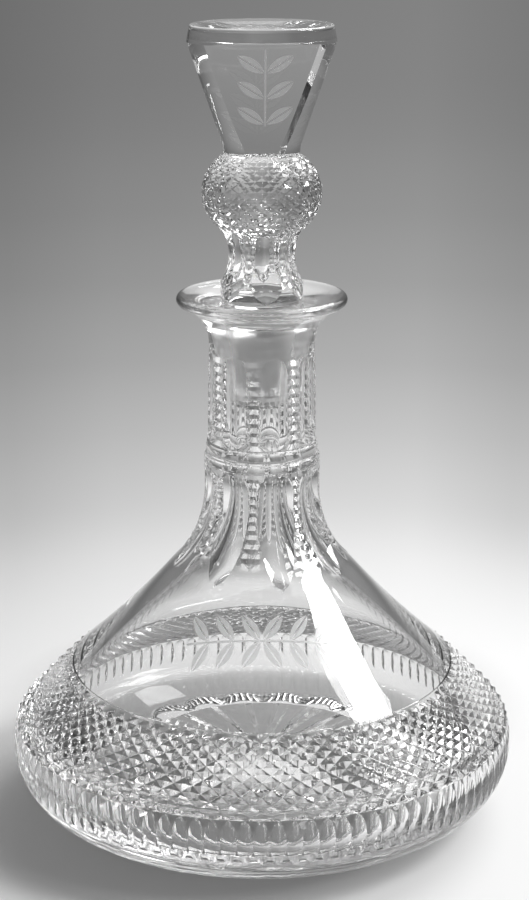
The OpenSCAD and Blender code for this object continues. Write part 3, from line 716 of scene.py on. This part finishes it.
stopperCut = {  # mm and degrees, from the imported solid
    "seatGap": 0.12, "stemGap": 0.6, "pegShort": 2.3, "pegBevel": 1.2, "pegHubR": 3, "footR": 14.2,
    "footTall": 5.4, "footEdge": 0.3, "stemR": 11.3, "sweepR": 17, "ridges": 6, "ridgeColumns": (16, 6),
    "stemTopR": 13.6, "stemTurn": 37.5, "hollowDeep": 2.2, "wheelR": 9, "runR": 22, "notches": 9,
    "notchDeep": 0.3, "bulbR": 20.6, "bulbCurve": 15.1, "bulbDiamonds": 24, "bulbRows": 16, "bulbDeep": 0.4,
    "bulbSeam": (0.1, 0.25), "waistR": 12.9, "waistSeam": (0.5, 0.1), "headTall": 37.2, "headSeam": 0.2,
    "headBend": 0.1, "headTurn": 95, "panels": 2, "panelColumns": (32, 32), "panelLow": 11, "panelHigh": 15,
    "ledgeRise": 1.5, "ledgeRun": 1, "ledgeIn": 0.03, "ledgeSeam": 0.1,
    "rimR": 25.1, "rimTall": 5.6, "rimEdge": 0.9, "rimIn": 0.3, "sharp": 18,
}
stopperLook = {
    # the stopper's leaves carry a faint painted glow; the decanter's glow is zero
    "name": "stopperCrystal", "wave": 4e-5, "leafGlow": 0.06, "leafRough": 0.4, "leafPitch": 8.4,
    "leafPairs": 3.0, "leafZ": 247.0, "leafSoft": 0.2, "rimGap": 1.0, "endDrop": 0.5,
}
roundColumns = 128


def stopperSizes(p, d):
    s = dict(p)
    s["stemZ"] = d["mouthZ"] + p["stemGap"]
    s["pegBottom"] = d["seatBottom"] + p["pegShort"]
    s["pegR"] = d["boreR"] - p["seatGap"] + d["seatTaper"] * p["pegShort"] / d["seatTall"]
    s["pegTopR"] = d["seatR"] - p["seatGap"]
    s["pegTop"], s["mouthZ"], s["mouthR"] = d["seatTop"], d["mouthZ"], d["mouthR"] - p["stemGap"]
    s["stemSweepZ"] = s["stemZ"] + p["footTall"] + rise(p["footR"] - p["stemR"], p["sweepR"])
    s["bulbC"] = p["bulbR"] - p["bulbCurve"]
    s["bulbHigh"] = acos((p["waistR"] - s["bulbC"]) / p["bulbCurve"])
    s["bulbLow"] = acos((p["stemTopR"] - s["bulbC"]) / p["bulbCurve"])
    s["bulbFootZ"] = s["stemSweepZ"] + rise(p["stemTopR"] - p["stemR"], p["sweepR"])
    s["bulbZ"] = s["bulbFootZ"] + p["bulbCurve"] * sin(s["bulbLow"])
    s["waistZ"] = s["bulbZ"] + p["bulbCurve"] * sin(s["bulbHigh"])
    s["rimZ"] = s["waistZ"] + p["headTall"]
    s["top"] = s["rimZ"] + p["rimTall"]
    return s


def pegRows(s):
    low = s["pegBottom"] + s["pegBevel"]
    rows = [row(r, s["pegBottom"]) for r in (0, s["pegHubR"], s["pegR"] - s["pegBevel"])]
    rows.append(row(s["pegR"], low))
    run = (s["pegTopR"] - s["pegR"], s["pegTop"] - low)
    rows += [row(s["pegR"] + run[0] * u, low + run[1] * u) for u in rowShares["taper"]]
    rows.append(row(s["mouthR"], s["mouthZ"]))
    rows += [row(r, s["stemZ"]) for r in (s["mouthR"], s["footR"] - s["footEdge"])]
    return rows


def stemRows(s):
    footTop = s["stemZ"] + s["footTall"]
    pitch = (s["bulbFootZ"] - footTop) / s["notches"]
    plainTall = s["footTall"] - s["footEdge"]
    heights = [(footTop - plainTall * (1 - u), 0) for u in shares(rowSteps["stemFoot"])[:-1]]
    heights += [(footTop + i * pitch / 2, s["notchDeep"] * (i % 2)) for i in range(s["notches"] * 2 + 1)]
    rows = []
    for z, notch in heights:
        below = s["stemSweepZ"] - z
        if z < footTop:
            r, lean = s["footR"], 0.0
        else:
            lean = asin(below / s["sweepR"])
            r = s["stemR"] + s["sweepR"] * (1 - cos(lean))
        cutter = s["stemR"] - s["hollowDeep"] + s["runR"] - sqrt(s["runR"] ** 2 - below ** 2)
        hollow = max(leastHollow, (r - cutter) * cos(lean))
        half = touchHalf(r / cos(lean), hollow, s["wheelR"]) / cos(lean)
        rows.append(row(r, z, lean=lean, hollow=hollow, half=half, notch=notch))
    return rows


def bulbRows(s):
    step = (s["bulbLow"] + s["bulbHigh"]) / s["bulbRows"]
    rows = [row(s["stemTopR"] + s["bulbSeam"][0], s["bulbFootZ"] + s["bulbSeam"][1])]
    for j in range(1, s["bulbRows"]):
        a = -s["bulbLow"] + j * step
        rows.append(row(s["bulbC"] + s["bulbCurve"] * cos(a), s["bulbZ"] + s["bulbCurve"] * sin(a), lean=a,
                        deep=s["bulbDeep"], wide=s["bulbDeep"], step=j + 1))
    rows.append(row(s["waistR"] - s["waistSeam"][0], s["waistZ"] - s["waistSeam"][1]))
    return rows


def headRows(s):
    bend = s["headBend"]  # share of the head's height over which its side turns out of the waist
    rows = []
    for u in shares(rowSteps["head"]):
        grow = u * u if u < bend else bend * bend + 2 * bend * (u - bend)
        grow = grow / (2 * bend - bend * bend)
        r = s["waistR"] + (s["rimR"] - s["waistR"]) * grow
        z = s["waistZ"] + s["headSeam"] + (s["headTall"] - s["headSeam"]) * u
        panel = s["panelLow"] + (s["panelHigh"] - s["panelLow"]) * u
        rows.append(row(r, z, hollow=r - panel, half=acos(panel / r)))
    slope = s["ledgeRise"] / (s["rimR"] + s["ledgeRun"] - s["panelHigh"])
    for i, u in enumerate(shares(rowSteps["ledge"])[1:], 1):  # ledge over the panels
        r = s["rimR"] - s["ledgeIn"] * i
        out = (r - s["ledgeSeam"] - s["panelHigh"]) * u
        panel = s["panelHigh"] + out
        rows.append(row(r, s["rimZ"] + out * slope, hollow=r - panel, half=acos(panel / r)))
    return rows


def rimRows(s):
    lowR, topR = s["rimR"] - s["rimIn"], s["rimR"] - s["rimEdge"]
    low, high = s["rimZ"] + s["ledgeRise"] + s["ledgeSeam"], s["top"] - s["rimEdge"]
    rows = [row(lowR - (lowR - topR) * u, low + (high - low) * u) for u in rowShares["rimSide"]]
    rows += arcRows((topR - s["rimEdge"], high), s["rimEdge"], 0, 90, rowSteps["rim"])
    rows += [row((topR - s["rimEdge"]) * u, s["top"]) for u in rowShares["rimTop"]]
    return rows


stopper = stopperSizes(stopperCut, decanter)
stopperLook["groundLow"] = stopper["pegBottom"] - stopperLook["endDrop"]  # its end face is ground too
stopperLook["groundHigh"] = stopper["pegTop"]
stopperLook["leafTop"] = stopper["rimZ"] - stopperLook["rimGap"]
stopperLook["panelTurn"] = stopper["headTurn"]
stopperCrystal = glassMaterial(stopperLook, panelSpray)
ridges = stopper["ridges"], stopper["ridgeColumns"], stopperCrystal, stopper["stemTurn"]
panels = stopper["panels"], stopper["panelColumns"], stopperCrystal, stopper["headTurn"]
stopperGlass = weldPiece("stopperGlass", [
    cutBand(pegRows(stopper), roundColumns, stopperCrystal),
    hollowBand(stemRows(stopper), *ridges),
    cutBand(bulbRows(stopper), stopper["bulbDiamonds"] * 2, stopperCrystal),
    hollowBand(headRows(stopper), *panels, flat=True),
    cutBand(rimRows(stopper), roundColumns, stopperCrystal),
], stopperCrystal, stopper["sharp"])

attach(decanterGlass, "vessel")
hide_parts("decanter")
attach(stopperGlass, "stopper")
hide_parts("stopper")
print("pieces ride on their bodies")


# stage: a round cove, lit paper near the glass and beyond it a painted glow, pale at the glass and greyer
# with distance

coveSet = {  # m
    "floorR": 2.6, "floorRings": (0.0, 0.2, 0.6, 1.2), "bendR": 0.8, "bendSteps": 12, "turnSteps": 72,
    "wallTop": 2.4, "weld": 1e-5, "floorTone": 0.8,
    "shadow": (0.12, 0.36),  # the lit floor gives way to the glowing one
    "front": (0.25, 0.7), "dark": 0.22,  # painted shade: the glow darkens towards the viewer
    "tonesTo": 5.0,  # reach of the tones, along the floor and up the wall
    # painted light and shade: the glow is dim under the foot, brightest round the glass, greyer with distance
    # and brighter again in a band up the wall
    "tones": ((0.0, 0.38), (0.076, 0.38), (0.084, 0.8), (0.15, 0.89), (0.27, 0.81), (0.37, 0.69),
              (0.49, 0.57), (0.66, 0.45), (0.93, 0.355), (1.26, 0.30), (1.75, 0.262), (2.1, 0.235),
              (2.4, 0.225), (2.8, 0.32), (3.4, 0.42), (4.3, 0.36), (5.0, 0.1)),
    # painted shade: the glow darkens out to the sides
    "sides": ((0.5, 1.0), (0.8, 0.9), (1.4, 0.7), (2.0, 0.45), (2.5, 0.3)),
    # painted light: spot is a caustic pool of glow under the back of the bowl, and the gain brightens the
    # floor seen through the glass, as caustics would
    "spotY": 0.09, "spot": (0.12, 0.06), "paintedGlassGain": 0.15, "gain": (0.4, 0.22),
    "slants": ((-0.13, 0.70), (-0.08, 0.84), (0.0, 0.93), (0.08, 1.0), (0.13, 0.87)),  # painted light: the glow is brighter on the right, the lamps' side
    "slant": (-0.3, 0.0), "slantMid": 0.5, "eyeY": 0.68,  # the slants fan out from under the camera
    "plainTone": 0.93,
}


def toneRamp(tree, value, shades):
    ramp = addNode(tree, "ShaderNodeValToRGB", {0: value})
    stops = ramp.color_ramp.elements
    while len(stops) < len(shades):
        stops.new(0.5)
    for stop, (at, shade) in zip(stops, shades):
        stop.position = at
        stop.color = (shade, shade, shade, 1)
    return ramp.outputs[0]


def coveMaterial(c):
    material = bpy.data.materials.new("paperAndPaintedGlow")
    material.use_nodes = True
    tree = material.node_tree
    tree.nodes.clear()
    place = addNode(tree, "ShaderNodeTexCoord").outputs["Object"]
    at = addNode(tree, "ShaderNodeSeparateXYZ", {0: place}).outputs
    flat = addNode(tree, "ShaderNodeCombineXYZ", {"X": at["X"], "Y": at["Y"]}).outputs[0]
    out = addNode(tree, "ShaderNodeVectorMath", {0: flat}, operation="LENGTH").outputs["Value"]
    away = calc(tree, "ADD", out, at["Z"])
    tones = [(far / c["tonesTo"], shade) for far, shade in c["tones"]]
    tone = toneRamp(tree, calc(tree, "DIVIDE", away, c["tonesTo"]), tones)

    # painted light: the glow brightens to the right
    slants = [(c["slantMid"] + lean, shade) for lean, shade in c["slants"]]
    slant = calc(tree, "DIVIDE", at["X"], calc(tree, "ADD", at["Y"], c["eyeY"]))
    slant = toneRamp(tree, calc(tree, "ADD", slant, c["slantMid"]), slants)
    slant = calc(tree, "SUBTRACT", slant, c["plainTone"])
    slant = product(tree, slant, ranged(tree, at["Y"], *c["slant"], "SMOOTHSTEP"))
    slant = calc(tree, "ADD", slant, c["plainTone"])
    # painted shade out to the sides
    sides = [(far / c["floorR"], shade) for far, shade in c["sides"]]
    side = toneRamp(tree, calc(tree, "DIVIDE", calc(tree, "ABSOLUTE", at["X"]), c["floorR"]), sides)
    # painted shade towards the viewer
    front = ranged(tree, product(tree, at["Y"], -1.0), *c["front"], "SMOOTHSTEP", 1.0, c["dark"])

    path = addNode(tree, "ShaderNodeLightPath").outputs
    throughGlass = calc(tree, "SUBTRACT", 1.0, path["Is Camera Ray"])
    # painted light: the floor is brighter seen through the glass, in place of caustics
    gain = product(tree, ranged(tree, away, *c["gain"]), throughGlass, c["paintedGlassGain"])
    strength = product(tree, slant, calc(tree, "ADD", gain, 1.0), side, front)
    # painted light: the cove's glow, toned by distance, slant, sides and front
    paintedGlow = addNode(tree, "ShaderNodeEmission", {"Color": tone, "Strength": strength})
    lit = addNode(tree, "ShaderNodeBsdfDiffuse", {"Color": (c["floorTone"],) * 3 + (1,)})
    seen = calc(tree, "MAXIMUM", path["Is Glossy Ray"], path["Is Transmission Ray"])
    seen = calc(tree, "MAXIMUM", path["Is Camera Ray"], seen)
    pastShadow = ranged(tree, away, *c["shadow"], "SMOOTHSTEP")
    toSpot = addNode(tree, "ShaderNodeVectorMath", {0: flat, 1: (0.0, c["spotY"], 0.0)}, operation="DISTANCE")
    paintedCausticPool = ranged(tree, toSpot.outputs["Value"], *c["spot"], "SMOOTHSTEP")  # painted light: a caustic pool of glow behind the foot, seen only through the bowl
    share = product(tree, seen, calc(tree, "MAXIMUM", pastShadow, paintedCausticPool))
    mix = addNode(tree, "ShaderNodeMixShader", {0: share, 1: lit.outputs[0], 2: paintedGlow.outputs[0]})
    addNode(tree, "ShaderNodeOutputMaterial", {"Surface": mix.outputs[0]})
    return material


def buildCove(c):
    flatR = c["floorR"] - c["bendR"]
    outline = [(r, 0.0) for r in c["floorRings"] + (flatR,)]
    for u in shares(c["bendSteps"])[1:]:
        a = radians(90 * u)
        outline.append((flatR + c["bendR"] * sin(a), c["bendR"] * (1 - cos(a))))
    outline.append((c["floorR"], c["wallTop"]))
    bm = bmesh.new()
    points = [bm.verts.new((r, 0, z)) for r, z in outline]
    edges = [bm.edges.new((a, b)) for a, b in zip(points, points[1:])]
    bmesh.ops.spin(bm, geom=points + edges, cent=(0, 0, 0), axis=(0, 0, 1), angle=2 * pi,
                   steps=c["turnSteps"], use_merge=True)
    bmesh.ops.remove_doubles(bm, verts=bm.verts, dist=c["weld"])
    mesh = bpy.data.meshes.new("cove")
    bm.to_mesh(mesh)
    bm.free()
    mesh.shade_smooth()
    mesh.materials.append(coveMaterial(c))
    cove = bpy.data.objects.new("cove", mesh)
    scene.collection.objects.link(cove)
    return cove


buildCove(coveSet)


# lights

lamps = {  # m and watts
    "keyBox": {"at": (0.912, -0.07, 0.94), "size": (0.47, 0.46), "power": 14.5},
    "topSheet": {"at": (0.62, 0.75, 1.25), "size": (0.9, 0.8), "power": 15.0},
}
lampAim = (0.0, 0.0, 0.08)
roomTone = 0.05


def addLamp(name, lamp, aim):
    data = bpy.data.lights.new(name, "AREA")
    data.shape = "RECTANGLE"
    data.size, data.size_y = lamp["size"]
    data.energy = lamp["power"]
    light = bpy.data.objects.new(name, data)
    light.location = lamp["at"]
    toAim = [b - a for a, b in zip(lamp["at"], aim)]
    flat = hypot(toAim[0], toAim[1])
    light.rotation_euler = (atan2(flat, -toAim[2]), 0, atan2(toAim[1], toAim[0]) - pi / 2)
    light.visible_camera = False
    scene.collection.objects.link(light)


for name, lamp in lamps.items():
    addLamp(name, lamp, lampAim)

world = bpy.data.worlds.new("darkRoom")
world.use_nodes = True
world.node_tree.nodes["Background"].inputs["Color"].default_value = (roomTone, roomTone, roomTone, 1)
scene.world = world
print("stage and lights set")


# camera, at the photograph's angle

shot = {"at": (0.0009, -0.6774, 0.3326), "pitch": 16.48, "lens": 80.44, "sensor": 36}
camData = bpy.data.cameras.new("shot")
camData.sensor_fit = "VERTICAL"
camData.sensor_height = shot["sensor"]
camData.lens = shot["lens"]
cam = bpy.data.objects.new("shot", camData)
cam.location = shot["at"]
cam.rotation_euler = (radians(90 - shot["pitch"]), 0, 0)
scene.collection.objects.link(cam)
scene.camera = cam

scene.view_settings.view_transform = "Standard"
scene.cycles.caustics_reflective = False
scene.cycles.caustics_refractive = False
scene.cycles.max_bounces = 24
scene.cycles.transmission_bounces = 24
scene.cycles.glossy_bounces = 12
scene.cycles.transparent_max_bounces = 24
